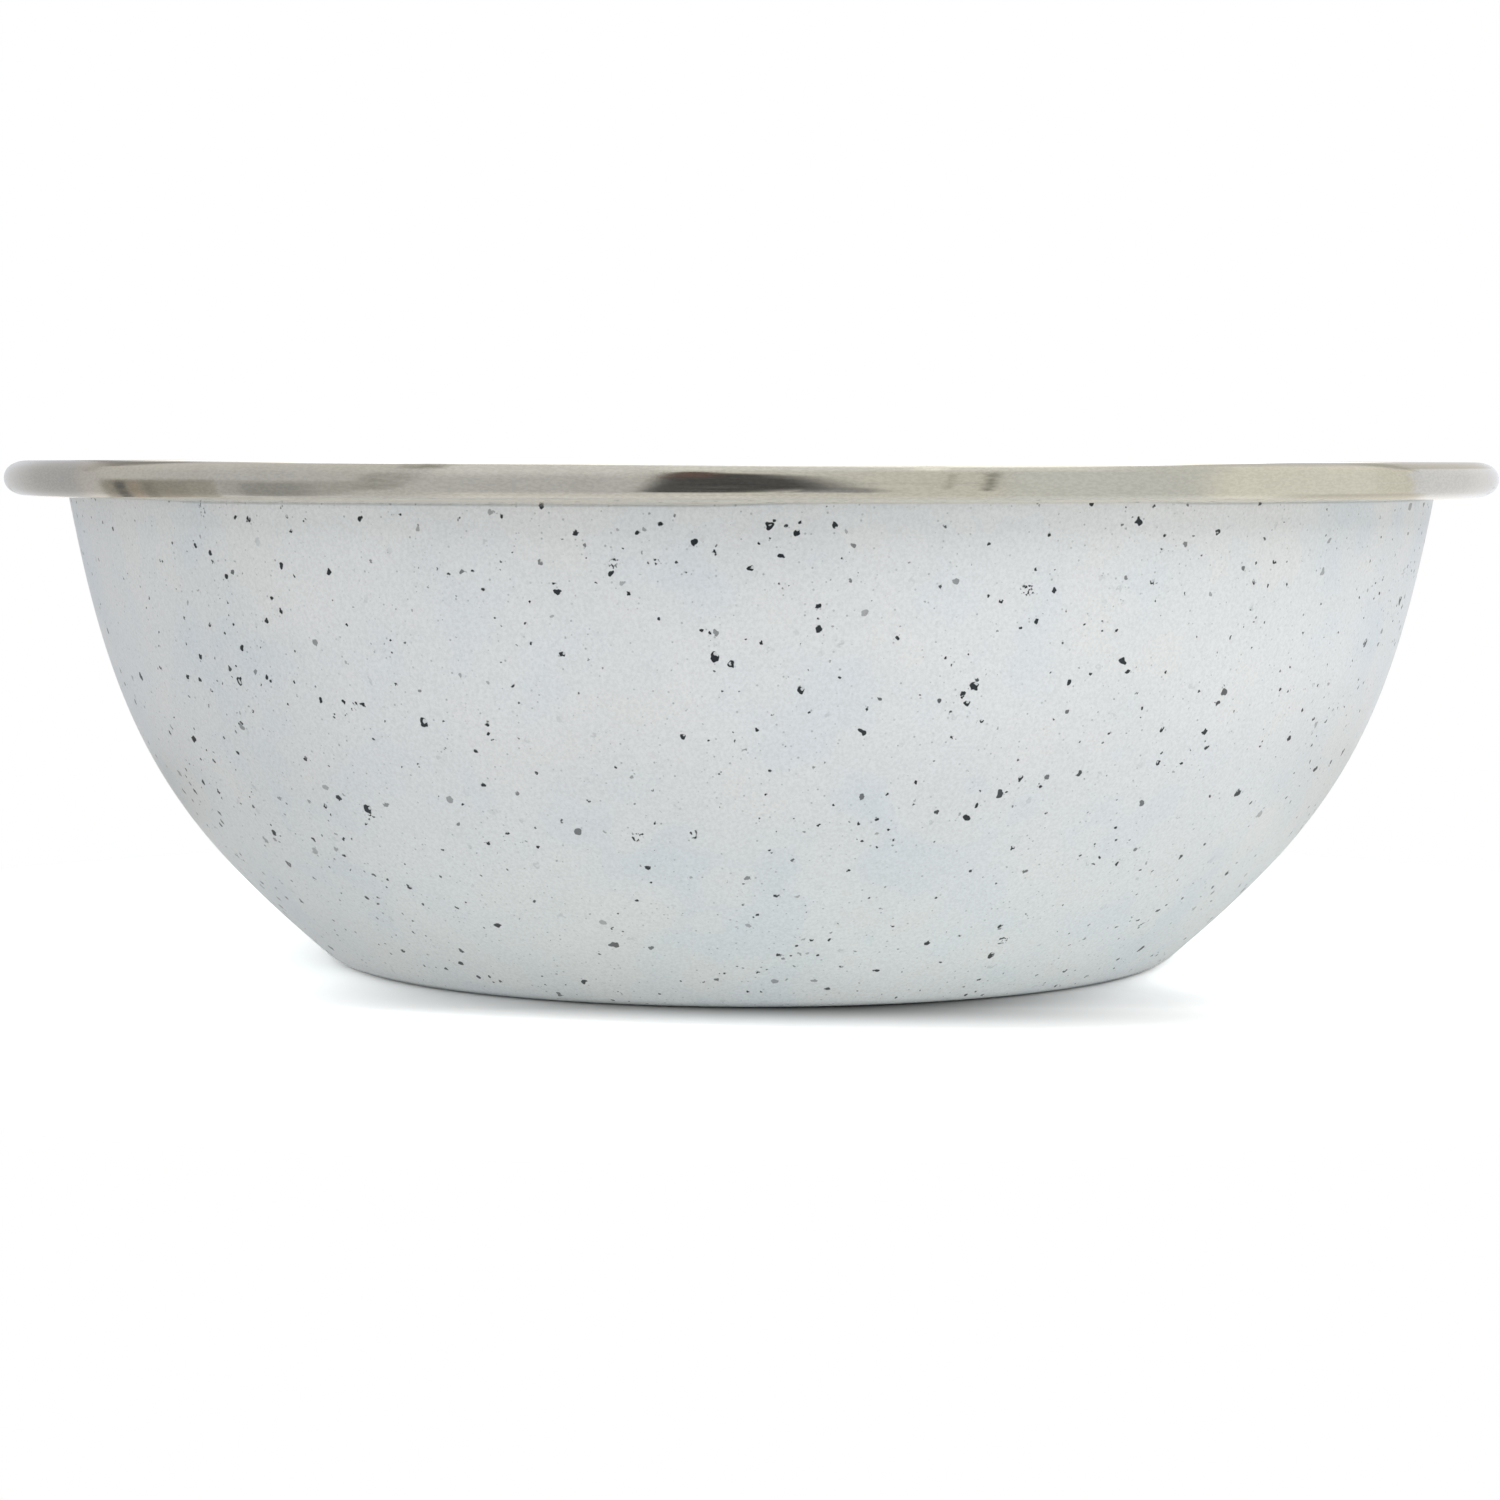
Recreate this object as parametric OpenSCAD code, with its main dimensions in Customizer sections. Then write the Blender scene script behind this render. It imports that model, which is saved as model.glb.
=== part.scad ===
// Enamelled steel bowl with a stainless rim band.
// Origin: centre of the resting face. +Z up. Lengths in millimetres.
//
// The sheet and its coats follow one path: the outside face of the bowl, from the
// middle of the base to the cut edge rolled up inside the band. A station of a path is
// [point, heading]: the point is [radius, height], and the heading is the angle of the
// path there, 0 = outwards, 90 = up. The outside of the bowl lies to the right of the
// heading, and each layer is the space between two depths below that face.

/* [Bowl] */
// Diameter over the rim band
rim_d = 152; // [140:1:180]
// Height from the resting face to the top of the rim band
bowl_h = 51; // [44:0.5:60]
// Slope of the wall just above the foot corner, degrees from level
wall_low_a = 41; // [34:0.5:48]
// Slope of the wall just under the rim, degrees from level
wall_top_a = 80; // [74:0.5:86]
// Reach of the lower slope up the wall, as a share of the wall's chord
wall_low_share = 0.4; // [0.3:0.01:0.5]
// Reach of the upper slope down the wall, as a share of the wall's chord
wall_top_share = 0.46; // [0.3:0.01:0.5]

/* [Base] */
// Diameter of the flat foot at its outer edge
foot_d = 83; // [70:0.5:92]
// Width of the flat ring that the bowl stands on
foot_w = 3.5; // [2:0.25:6]
// Radius of the corner between the foot and the wall
corner_r = 4; // [2.5:0.25:7]
// Rise of the base panel inside the foot ring
panel_rise = 1; // [0.4:0.1:2]
// Radius of the two bends that step up to the base panel
step_r = 3; // [2:0.25:5]

/* [Sheet and coats] */
// Thickness of the pressed steel
steel_t = 0.6; // [0.45:0.05:0.7]
// Thickness of the dark ground coat on each face
ground_t = 0.1; // [0.06:0.01:0.14]
// Thickness of the speckled cover coat on each face
cover_t = 0.15; // [0.08:0.01:0.2]

/* [Rim] */
// Distance that the rim reaches past the top of the wall
rim_reach = 6.2; // [5.4:0.1:8]
// Radius of the bend from wall to flange, on the outside face
flange_r = 1.25; // [0.8:0.05:1.6]
// Turn of the rolled edge, in degrees
curl_a = 225; // [180:5:260]

/* [Rim band] */
// Thickness of the stainless strip
band_t = 0.35; // [0.25:0.05:0.4]
// Height of the band at its nose
nose_h = 3.45; // [3.3:0.05:4]
// Radius of the shoulders above and below the nose
shoulder_r = 2.9; // [2.3:0.1:4]
// Turn of each shoulder, in degrees
shoulder_a = 30; // [15:1:40]
// Slope of the lower lip down towards the wall, in degrees
lip_a = 0.6; // [0:0.2:6]
// Turn of the band's inner edge down into the mouth, in degrees
hem_a = 30; // [10:1:45]
// Clearance of the crimped band from the curl and the wall
fit_gap = 0.05; // [0.02:0.01:0.12]

/* [Hidden] */

enamel_colour = [0.80, 0.82, 0.80];
ground_colour = [0.13, 0.14, 0.17];
steel_colour = [0.52, 0.53, 0.54];
band_colour = [0.74, 0.73, 0.71];

// Largest turn between two stations of a bend, and stations along the wall
bend_step_a = 6;
wall_steps = 26;
// Segments of a full turn about the axis
turn_steps = 180;

// Depths of the layers below the outside face
ground_out_d = cover_t;
steel_out_d = ground_out_d + ground_t;
steel_in_d = steel_out_d + steel_t;
ground_in_d = steel_in_d + ground_t;
wall_t = ground_in_d + cover_t;

rim_r = rim_d / 2;
foot_r = foot_d / 2;
foot_in_r = foot_r - foot_w;

// The nose of the band is one arc between two equal shoulders
nose_r = (nose_h / 2 - shoulder_r * (1 - cos(shoulder_a))) / cos(shoulder_a);
nose_depth = shoulder_r * sin(shoulder_a) + nose_r * (1 - sin(shoulder_a));
nose_in_r = rim_r - nose_depth;

// The band lies on the flange, and the curl fills the band's nose
flange_z = bowl_h - band_t - wall_t;
curl_r = (nose_h - 2 * band_t - cover_t - fit_gap) / 2;
curl_in_r = curl_r - ground_in_d;

// Unit vector to the right of a heading
function side(a) = [sin(a), -cos(a)];

// Point of a station, moved to a depth below its face
function at_depth(s, d) = s[0] - d * side(s[1]);

// Stations of a bend from heading a0 to a1; r > 0 keeps its centre on the left
function bend(p, a0, a1, r) =
    let (steps = ceil(abs(a1 - a0) / bend_step_a), centre = p - r * side(a0))
    [for (i = [0 : steps]) let (a = a0 + (a1 - a0) * i / steps) [centre + r * side(a), a]];

// Last point of a list of stations, and the list without its first station
function end_of(path) = path[len(path) - 1][0];
function after_first(path) = [for (i = [1 : len(path) - 1]) path[i]];

// Cubic curve through four control points, and its direction
function cubic(c, t) = pow(1 - t, 3) * c[0] + 3 * pow(1 - t, 2) * t * c[1]
    + 3 * (1 - t) * pow(t, 2) * c[2] + pow(t, 3) * c[3];
function cubic_dir(c, t) = pow(1 - t, 2) * (c[1] - c[0])
    + 2 * (1 - t) * t * (c[2] - c[1]) + pow(t, 2) * (c[3] - c[2]);

// Base: raised panel, a step of two equal bends down to the foot ring, foot corner
step_a = acos(1 - panel_rise / (2 * step_r));
panel_r = foot_in_r - 2 * step_r * sin(step_a);
step_down = bend([panel_r, panel_rise], 0, -step_a, -step_r);
step_flat = bend(end_of(step_down), -step_a, 0, step_r);
foot_corner = bend([foot_r, 0], 0, wall_low_a, corner_r);

// Wall: one cubic curve, tangent to the foot corner and to the bend at the top
wall_foot = end_of(foot_corner);
wall_top = [rim_r - rim_reach, flange_z - flange_r * (1 - cos(wall_top_a))];
wall_chord = norm(wall_top - wall_foot);
wall_control = [
    wall_foot,
    wall_foot + wall_low_share * wall_chord * [cos(wall_low_a), sin(wall_low_a)],
    wall_top - wall_top_share * wall_chord * [cos(wall_top_a), sin(wall_top_a)],
    wall_top
];
wall = [for (i = [1 : wall_steps - 1])
    let (d = cubic_dir(wall_control, i / wall_steps))
    [cubic(wall_control, i / wall_steps), atan2(d[1], d[0])]];

// Rim of the sheet: bend out to the flange, in two lengths so that the upper one has
// the stations of the band's inner edge, then the edge rolled down and under
flange_low = bend(wall_top, wall_top_a, hem_a, -flange_r);
flange_high = bend(end_of(flange_low), hem_a, 0, -flange_r);
curl = bend([nose_in_r, flange_z], 0, -curl_a, -curl_in_r);

covered_path = concat([[[0, panel_rise], 0]], step_down, after_first(step_flat),
    foot_corner, wall, flange_low, after_first(flange_high), [curl[0]]);
sheet_path = concat(covered_path, after_first(curl));

// Band, listed from its inner edge on top to the lip under the rim
hem_r = flange_r + wall_t + band_t;
hem = bend([end_of(flange_high)[0], bowl_h], 180, 180 + hem_a, hem_r);
nose_top = bend([nose_in_r, bowl_h], 180, 180 - shoulder_a, shoulder_r);
nose = bend(end_of(nose_top), 180 - shoulder_a, shoulder_a, nose_r);
nose_low = bend(end_of(nose), shoulder_a, lip_a, shoulder_r);
lip_start = end_of(nose_low);
// The lip runs straight in until its upper corner is one clearance from the wall
lip_l = ((lip_start - band_t * side(lip_a) - wall_top) * side(wall_top_a) - fit_gap)
    / sin(wall_top_a - lip_a);
lip_end = lip_start - lip_l * [cos(lip_a), sin(lip_a)];
band_path = concat([for (i = [len(hem) - 1 : -1 : 0]) hem[i]], nose_top,
    after_first(nose), after_first(nose_low), [[lip_end, lip_a]]);

// Ring of one layer of a path, between two depths
module layer(path, d0, d1) {
    rotate_extrude($fn = turn_steps)
        polygon(concat(
            [for (s = path) at_depth(s, d0)],
            [for (i = [len(path) - 1 : -1 : 0]) at_depth(path[i], d1)]));
}

// Pressed sheet: base panel, foot, wall, flange and rolled edge in one piece
module steel_shell() {
    color(steel_colour) layer(sheet_path, steel_out_d, steel_in_d);
}

// Ground coat fired on both faces of the sheet; its cut edge stays bare in the band
module ground_coat() {
    color(ground_colour) {
        layer(sheet_path, ground_out_d, steel_out_d);
        layer(sheet_path, steel_in_d, ground_in_d);
    }
}

// Speckled cover coat outside, from the base up to the start of the curl
module outside_enamel() {
    color(enamel_colour) layer(covered_path, 0, ground_out_d);
}

// Speckled cover coat inside, from the base up over the flange
module inside_enamel() {
    color(enamel_colour) layer(covered_path, ground_in_d, wall_t);
}

// Stainless strip closed round the flange and crimped up to the wall
module rim_band() {
    color(band_colour) layer(band_path, 0, band_t);
}

steel_shell();
ground_coat();
outside_enamel();
inside_enamel();
rim_band();
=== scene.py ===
import math
import bpy
import numpy as np
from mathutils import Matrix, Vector


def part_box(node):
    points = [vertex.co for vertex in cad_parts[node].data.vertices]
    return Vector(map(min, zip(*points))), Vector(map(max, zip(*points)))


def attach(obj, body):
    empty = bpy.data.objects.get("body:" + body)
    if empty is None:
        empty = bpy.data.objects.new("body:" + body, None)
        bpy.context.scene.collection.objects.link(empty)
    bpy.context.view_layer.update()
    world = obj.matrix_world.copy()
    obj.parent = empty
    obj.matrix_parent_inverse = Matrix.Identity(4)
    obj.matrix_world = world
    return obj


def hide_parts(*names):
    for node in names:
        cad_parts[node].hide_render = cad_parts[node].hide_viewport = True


# An enamelled steel bowl with a stainless rim band, dressed for a studio picture.
# Metres and degrees. The bowl is turned about Z, and its mouth faces up.

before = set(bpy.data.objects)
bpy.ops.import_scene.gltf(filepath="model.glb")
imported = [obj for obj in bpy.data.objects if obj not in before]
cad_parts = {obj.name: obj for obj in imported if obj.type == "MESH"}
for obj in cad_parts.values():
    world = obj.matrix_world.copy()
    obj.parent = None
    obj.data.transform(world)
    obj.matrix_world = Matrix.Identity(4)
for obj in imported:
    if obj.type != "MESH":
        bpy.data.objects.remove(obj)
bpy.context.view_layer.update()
scene = bpy.context.scene
mm = 0.001
tiny = 1e-9  # stands for nothing, where a sum may leave a trace
rimLow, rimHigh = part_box("rim_band")
rimRadius = min(rimHigh.x, rimHigh.y, -rimLow.x, -rimLow.y)
rimTop = rimHigh.z
print("frame loaded:", ", ".join(sorted(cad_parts)))


# Profiles. A station is [radius, height, heading]: heading 0 runs outwards and 90 up,
# and the outside of the bowl lies to the right of it.

# Unit vector to the right of each heading: (sin a, -cos a)
def facing(heading):
    angle = np.radians(heading)
    return np.stack([np.sin(angle), -np.cos(angle)], axis=-1)


# Unit vector along each heading: (cos a, sin a)
def along(heading):
    angle = np.radians(heading)
    return np.stack([np.cos(angle), np.sin(angle)], axis=-1)


# Arc: its centre is start - radius * facing(first), its points are centre + radius * facing(a)
def arc(start, first, last, radius, step):
    heading = np.linspace(first, last, int(np.ceil(abs(last - first) / step)) + 1)
    points = np.asarray(start) + radius * (facing(heading) - facing(first))
    return np.column_stack([points, heading])


# Straight run: points spaced evenly from start to end, all with one heading
def run(start, end, heading, steps):
    share = np.linspace(0, 1, steps + 1)[:, None]
    points = (1 - share) * np.asarray(start) + share * np.asarray(end)
    return np.column_stack([points, np.full(steps + 1, float(heading))])


# Cubic with end tangents: (1-t)^3 a + 3(1-t)^2 t b + 3(1-t)t^2 c + t^3 d, headings from its slope
def cubic(start, startHeading, startReach, end, endHeading, endReach, steps):
    share = np.linspace(0, 1, steps + 1)[:, None]
    b = start + startReach * along(startHeading)
    c = end - endReach * along(endHeading)
    rest = 1 - share
    points = rest**3 * start + 3 * rest**2 * share * b + 3 * rest * share**2 * c + share**3 * end
    slope = rest**2 * (b - start) + 2 * rest * share * (c - b) + share**2 * (end - c)
    return np.column_stack([points, np.degrees(np.arctan2(slope[:, 1], slope[:, 0]))])


# Lengths joined end to end, each without the station that it shares with the one before
def joined(*lengths):
    return np.concatenate([lengths[0]] + [length[1:] for length in lengths[1:]])


# Points of a path moved in by a depth, square to the path
def inset(path, depth):
    return path[:, :2] - depth * facing(path[:, 2])


bowl = {
    "wallLow": 41,  # slope of the wall above the foot corner
    "wallTop": 80,  # slope of the wall under the rim
    "wallLowShare": 0.4,  # reach of the lower slope, as a share of the wall's chord
    "wallTopShare": 0.46,
    "footRadius": 41.5 * mm,
    "footWidth": 3.5 * mm,
    "cornerRadius": 4 * mm,
    "panelRise": 1 * mm,
    "stepRadius": 3 * mm,
    "rimReach": 6.2 * mm,  # from the top of the wall to the band's nose
    "flangeRadius": 1.25 * mm,
    "coverCoat": 0.15 * mm,
    "innerCoatFrom": 0.95 * mm,  # depth of the steel side of the inside coat
    "innerCoatTo": 1.1 * mm,
    "bandSheet": 0.35 * mm,
    "hemTurn": 30,
    "noseReach": 2.222 * mm,  # from the end of the flange to the nose
    "turns": 420,
    "arcStep": 4,  # degrees from station to station in the bends of the base
    "flangeStep": 8,
    "wallSteps": 64,
    "panelSteps": 8,
    "flatSteps": 3,  # on the foot ring and on the flange
    "waveHeight": 0.022 * mm,  # slow unevenness of the fired coat
    "waveSeed": 11,
    "waveKinds": 40,
    "wavesRound": (2, 26),  # fewest round the bowl, and one more than the most
    "wavesUp": (20, 380),  # along the wall, in radians to the metre
    "waveStrengths": (0.4, 1),
    "waveRise": (1.2 * mm, 5 * mm),  # above the floor, where the waves begin
    "waveFade": (7 * mm, 4.2 * mm),  # below the top, where they end
}


# Height of the outside face under the flange
def flangeLevel(size):
    return rimTop - size["bandSheet"] - size["innerCoatTo"]


# Top of the wall, where the bend to the flange starts
def topOfWall(size):
    drop = size["flangeRadius"] * (1 - math.cos(math.radians(size["wallTop"])))
    return np.array([rimRadius - size["rimReach"], flangeLevel(size) - drop])


# The outside face from the middle of the base to the end of the flange
def bowlPath(size):
    footInner = size["footRadius"] - size["footWidth"]
    stepTurn = math.degrees(math.acos(1 - size["panelRise"] / (2 * size["stepRadius"])))
    panelRadius = footInner - 2 * size["stepRadius"] * math.sin(math.radians(stepTurn))
    step, flat = size["arcStep"], size["flatSteps"]
    panel = run([0, size["panelRise"]], [panelRadius, size["panelRise"]], 0, size["panelSteps"])
    stepDown = arc(panel[-1, :2], 0, -stepTurn, -size["stepRadius"], step)
    stepFlat = arc(stepDown[-1, :2], -stepTurn, 0, size["stepRadius"], step)
    foot = run(stepFlat[-1, :2], [size["footRadius"], 0], 0, flat)
    corner = arc(foot[-1, :2], 0, size["wallLow"], size["cornerRadius"], step)
    wallStart, wallEnd = corner[-1, :2], topOfWall(size)
    chord = np.linalg.norm(wallEnd - wallStart)
    wall = cubic(wallStart, size["wallLow"], size["wallLowShare"] * chord,
                 wallEnd, size["wallTop"], size["wallTopShare"] * chord, size["wallSteps"])
    flange = arc(wallEnd, size["wallTop"], 0, -size["flangeRadius"], size["flangeStep"])
    rimEnd = run(flange[-1, :2], [rimRadius - size["noseReach"], flangeLevel(size)], 0, flat)
    return joined(panel, stepDown, stepFlat, foot, corner, wall, flange, rimEnd)


def newObject(name, data):
    made = bpy.data.objects.new(name, data)
    scene.collection.objects.link(made)
    return made


# Turns round the axis, even and in radians
def evenTurns(count):
    return np.arange(count) * 2 * math.pi / count


# Turned shell: point (i, j) is (r_i cos t_j, r_i sin t_j, z_i), with t_j even round the axis.
# relief moves each point along the outward normal of its station. Faces wind so that they
# point to the right of the profile. A profile that starts and ends on the axis is closed by
# two fans there, and any other is closed by a last ring of faces back to its start.
def turnedShell(name, points, outward, relief, turns):
    turn = evenTurns(turns)
    radius = points[:, :1] + relief * outward[:, :1]
    height = points[:, 1:2] + relief * outward[:, 1:2]
    grid = np.stack([radius * np.cos(turn), radius * np.sin(turn), height + 0 * turn], axis=-1)
    onAxis = max(points[0, 0], points[-1, 0]) < tiny
    rings = grid[1:-1] if onAxis else grid
    count = len(rings)
    ring = np.arange(count)[:, None] * turns + np.arange(turns)
    beside = np.roll(ring, -1, axis=1)
    if onAxis:
        low, high, lowNext, highNext = ring[:-1], ring[1:], beside[:-1], beside[1:]
    else:
        low, lowNext = ring, beside
        high, highNext = np.roll(ring, -1, axis=0), np.roll(beside, -1, axis=0)
    faces = np.stack([low, lowNext, highNext, high], axis=-1).reshape(-1, 4).tolist()
    vertices = rings.reshape(-1, 3)
    if onAxis:
        first, last = len(vertices), len(vertices) + 1
        poles = np.array([[0, 0, points[0, 1]], [0, 0, points[-1, 1]]])
        vertices = np.concatenate([vertices, poles])
        hub = np.full(turns, first)
        faces += np.column_stack([hub, beside[0], ring[0]]).tolist()
        faces += np.column_stack([hub + last - first, ring[-1], beside[-1]]).tolist()
    mesh = bpy.data.meshes.new(name)
    mesh.from_pydata(vertices.tolist(), [], faces)
    mesh.polygons.foreach_set("use_smooth", np.ones(len(mesh.polygons), dtype=bool))
    mesh.update()
    print("made", name, "with", len(mesh.polygons), "faces")
    return newObject(name, mesh)


# 0 below the first edge, 1 above the second, smooth between: 3x^2 - 2x^3
def smoothRise(value, start, end):
    share = np.clip((value - start) / (end - start), 0, 1)
    return share * share * (3 - 2 * share)


# Slow waves of the coat: a sum of cosines round the bowl times cosines along its wall,
# faded out at the foot, where the bowl stands, and at the top, where the band grips it
def coatWaves(path, size):
    chance = np.random.default_rng(size["waveSeed"])
    kinds = size["waveKinds"]
    around = chance.integers(*size["wavesRound"], kinds)
    upward = chance.uniform(*size["wavesUp"], kinds)
    strength = chance.uniform(*size["waveStrengths"], kinds) / np.sqrt(kinds)
    shift = chance.uniform(0, 2 * math.pi, (2, kinds))
    length = np.concatenate([[0], np.cumsum(np.linalg.norm(np.diff(path[:, :2], axis=0), axis=1))])
    turn = evenTurns(size["turns"])
    lengthwise = strength * np.cos(length[:, None] * upward + shift[0])
    waves = lengthwise @ np.cos(around[:, None] * turn + shift[1][:, None])
    aboveFoot = smoothRise(path[:, 1], *size["waveRise"])
    belowBand = 1 - smoothRise(path[:, 1], *(rimTop - drop for drop in size["waveFade"]))
    return size["waveHeight"] * waves * (aboveFoot * belowBand)[:, None]


# Coat between two depths below the outside face: out along the first, back along the second
def makeCoat(name, size, outerDepth, innerDepth, wavyFirst):
    path = bowlPath(size)
    back = path[::-1]
    points = np.concatenate([inset(path, outerDepth), inset(back, innerDepth)])
    outward = np.concatenate([facing(path[:, 2]), -facing(back[:, 2])])
    waves = coatWaves(path, size)
    still = np.zeros_like(waves)
    relief = np.concatenate([waves, still] if wavyFirst else [still, waves[::-1]])
    return turnedShell(name, points, outward, relief, size["turns"])


outsideCoat = makeCoat("outside_coat", bowl, 0, bowl["coverCoat"], True)
insideCoat = makeCoat("inside_coat", bowl, bowl["innerCoatFrom"], bowl["innerCoatTo"], False)


band = {
    "noseHeight": 3.45 * mm,
    "shoulderRadius": 2.9 * mm,
    "shoulderTurn": 30,
    "lipSlope": 0.6,
    # where the crimp left the lip lower, or higher if less than 0: azimuth, half width, depth
    "sags": ((-64, 10, -0.1 * mm), (-25, 21, 0.15 * mm), (-31, 28, 0.1 * mm), (19, 11, -0.09 * mm),
             (52, 16, 0.14 * mm), (150, 30, 0.2 * mm), (-130, 25, 0.15 * mm)),
    "sagFade": 7,  # degrees past the half width over which a sag ends
    "fitGap": 0.05 * mm,
    "edgeRadius": 0.1 * mm,  # rounding of the strip's two cut edges
    "turns": 1200,
    "arcStep": 5,
    "lipSteps": 8,
    "landSteps": 2,  # on the flat land between nose and hem
    "wrinkles": 196,  # crimp marks round the lip
    "wrinkleDepth": 0.16 * mm,
    "wrinkleReach": 1.5 * mm,  # how far they run from the lip's edge
    "wrinkleSeed": 5,
    "wrinkleDrift": 1.6,  # times the sum of the slow waves that shift the marks, in radians
    "driftWaves": (3, 5, 8, 13, 21, 34),  # counts of the slow waves round the band
    "driftStrengths": (0.2, 1),
    "swell": (0.55, 0.45, 7),  # the marks' depth: mean share, its change, changes round the band
    "lipHeight": 1 * mm,  # of the part of the band that the crimp moves
    "lipLength": 3.4 * mm,  # over which the lip hangs down to its sag
}


# Radius of the nose between its shoulders: (height / 2 - shoulder * (1 - cos turn)) / cos turn
def noseArc(size):
    cosTurn = math.cos(math.radians(size["shoulderTurn"]))
    return (size["noseHeight"] / 2 - size["shoulderRadius"] * (1 - cosTurn)) / cosTurn


# The band's outside face from its lip under the rim, round the nose, to its hem in the mouth
def bandPath(size, bowlSize):
    turn, slope, radius = size["shoulderTurn"], size["lipSlope"], size["shoulderRadius"]
    noseRadius, sinTurn = noseArc(size), math.sin(math.radians(turn))
    reach = radius * sinTurn + noseRadius * (1 - sinTurn)
    step = size["arcStep"]
    noseTop = arc([rimRadius - reach, rimTop], 180, 180 - turn, radius, step)
    nose = arc(noseTop[-1, :2], 180 - turn, turn, noseRadius, step)
    noseLow = arc(nose[-1, :2], turn, slope, radius, step)
    lipStart = noseLow[-1, :2]
    # the lip runs in until its upper corner is one clearance from the wall
    wallTop, wallEnd = bowlSize["wallTop"], topOfWall(bowlSize)
    corner = lipStart - bowlSize["bandSheet"] * facing(slope)
    room = (corner - wallEnd) @ facing(wallTop) - size["fitGap"]
    lipLength = room / math.sin(math.radians(wallTop - slope))
    lip = run(lipStart, lipStart - lipLength * along(slope), slope, size["lipSteps"])
    flangeStart = wallEnd[0] + bowlSize["flangeRadius"] * math.sin(math.radians(wallTop))
    hemRadius = bowlSize["flangeRadius"] + bowlSize["innerCoatTo"] + bowlSize["bandSheet"]
    hem = arc([flangeStart, rimTop], 180, 180 + bowlSize["hemTurn"], hemRadius, step)
    land = run(noseTop[0, :2], hem[0, :2], 180, size["landSteps"])
    return joined(lip[::-1], noseLow[::-1], nose[::-1], noseTop[::-1], land, hem)


# Strip with its two cut edges rounded: the face, a corner of two quarter arcs at each end,
# and the back of the strip. Gives the points and their outward directions. The stations next
# to the cut edges give way to the corners, and the hidden back has every fourth station.
def roundedStrip(path, thickness, radius):
    quarter = np.radians(np.linspace(0, 90, 4))[:, None]

    def edge(station, sign):
        out = sign * along(station[2])
        face = facing(station[2])
        tip = station[:2] - radius * out
        first = face * np.cos(quarter) + out * np.sin(quarter)
        second = out * np.cos(quarter) - face * np.sin(quarter)
        points = np.concatenate([tip - radius * face + radius * first,
                                 tip - (thickness - radius) * face + radius * second])
        return points, np.concatenate([first, second])

    endPoints, endOut = edge(path[-1], 1)
    startPoints, startOut = edge(path[0], -1)
    backPath = path[-3:1:-4]
    points = [path[2:-1, :2], endPoints, inset(backPath, thickness), startPoints[::-1]]
    outward = [facing(path[2:-1, 2]), endOut, -facing(backPath[:, 2]), startOut[::-1]]
    return np.concatenate(points), np.concatenate(outward)


# Sag of the lip at each turn: for each place, depth * (1 - smoothRise of the degrees past its
# half width), where a turn of -90 degrees is azimuth 0
def lipSag(turn, size):
    azimuth = np.degrees(turn) + 90
    sag = 0 * turn
    for centre, half, depth in size["sags"]:
        away = np.abs((azimuth - centre + 180) % 360 - 180)
        sag = sag + depth * (1 - smoothRise(away, half, half + size["sagFade"]))
    return sag


# Crimp marks: dents by a cosine round the lip with an uneven pitch, deepest at the lip's
# edge, with the sag added to them. The relief is multiplied by the downward part of each
# normal, so that both faces of the strip move together.
def crimpMarks(points, outward, size, lipEdge):
    chance = np.random.default_rng(size["wrinkleSeed"])
    turn = evenTurns(size["turns"])
    slow = sum(chance.uniform(*size["driftStrengths"]) * np.cos(k * turn + chance.uniform(0, 2 * math.pi))
               for k in size["driftWaves"])
    beat = np.cos(size["wrinkles"] * turn + size["wrinkleDrift"] * slow)
    mean, change, count = size["swell"]
    swell = mean + change * np.cos(count * turn + slow)
    reach = np.linalg.norm(points - lipEdge, axis=1)
    fade = 1 - smoothRise(reach, 0, size["wrinkleReach"])
    onLip = points[:, 1] < rimTop - size["noseHeight"] + size["lipHeight"]
    dents = (beat - 1) / 2 * swell
    hang = 1 - np.clip(reach / size["lipLength"], 0, 1)
    down = (-outward[:, 1] * onLip)[:, None]
    return down * (size["wrinkleDepth"] * fade[:, None] * dents + hang[:, None] * lipSag(turn, size))


def makeBand(name, size, bowlSize):
    path = bandPath(size, bowlSize)
    points, outward = roundedStrip(path, bowlSize["bandSheet"], size["edgeRadius"])
    marks = crimpMarks(points, outward, size, path[0, :2])
    return turnedShell(name, points, outward, marks, size["turns"])


rimBand = makeBand("stainless_band", band, bowl)


# Height of the lip's edge less the height of each point of a coat, for the line of shade
# where the lip meets the wall
def markSeam(coat, size, bowlSize):
    count = len(coat.data.vertices)
    places = np.empty(3 * count)
    coat.data.vertices.foreach_get("co", places)
    places = places.reshape(count, 3)
    turn = np.arctan2(places[:, 1], places[:, 0])
    below = bandPath(size, bowlSize)[0, 1] - lipSag(turn, size) - places[:, 2]
    coat.data.attributes.new("belowLip", "FLOAT", "POINT").data.foreach_set("value", below)


markSeam(outsideCoat, band, bowl)


# Node helpers. An input that is given a socket is linked, and any other value is set.

def addNode(tree, kind, inputs=None, **settings):
    node = tree.nodes.new(kind)
    for key, value in settings.items():
        setattr(node, key, value)
    for key, value in (inputs or {}).items():
        if isinstance(value, bpy.types.NodeSocket):
            tree.links.new(value, node.inputs[key])
        else:
            node.inputs[key].default_value = value
    return node


def calc(tree, operation, *values):
    return addNode(tree, "ShaderNodeMath", dict(enumerate(values)), operation=operation).outputs[0]


def times(tree, first, second):
    return calc(tree, "MULTIPLY", first, second)


def vectorCalc(tree, operation, *values):
    inputs = dict(enumerate(values))
    return addNode(tree, "ShaderNodeVectorMath", inputs, operation=operation).outputs[0]


def lengthOf(tree, vector):
    return addNode(tree, "ShaderNodeVectorMath", {0: vector}, operation="LENGTH").outputs["Value"]


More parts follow.
